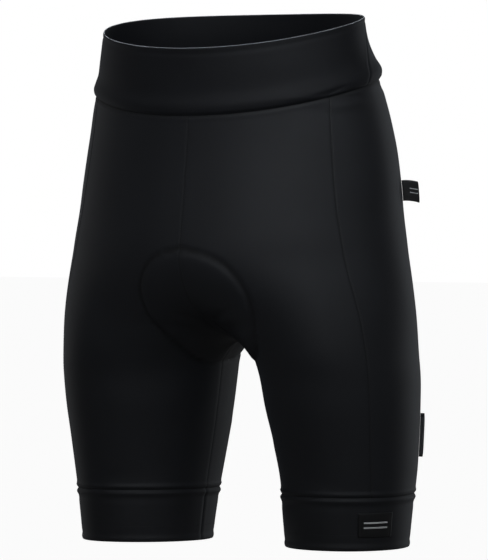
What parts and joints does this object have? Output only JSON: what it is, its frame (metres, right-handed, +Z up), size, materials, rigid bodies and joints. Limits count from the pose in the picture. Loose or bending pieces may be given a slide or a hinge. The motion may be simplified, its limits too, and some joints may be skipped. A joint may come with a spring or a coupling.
{
  "type": "cycling shorts",
  "caption": "Worn high-waist black cycling shorts with wide waistband, side panels, sewn-in seat pad, wide leg cuffs and small side tabs.",
  "frame": {"origin": "middle of the waist opening at the height of its sides, where the waistband grips the wearer", "axes": "+Z up the body, -Y the wearer's front, +X the wearer's left"},
  "size_m": [0.361, 0.2287, 0.5044],
  "materials": {
    "black_knit": "matt stretch knit, soft sheen",
    "band_knit": "matt doubled stretch knit",
    "cuff_knit": "matt elastic knit",
    "pad_fleece": "brushed fleece over foam",
    "woven_label": "smooth woven tape",
    "reflective_tape": "satin grey tape"
  },
  "bodies": {
    "root": {"waistband_front": "band_knit", "waistband_back": "band_knit", "front_left": "black_knit", "front_right": "black_knit", "side_left": "black_knit", "side_right": "black_knit", "back_left": "black_knit", "back_right": "black_knit", "cuff_left": "cuff_knit", "cuff_right": "cuff_knit", "pad": "pad_fleece", "hip_tab": "woven_label", "leg_tab": "reflective_tape", "cuff_patch": "woven_label"}
  },
  "joints": []
}
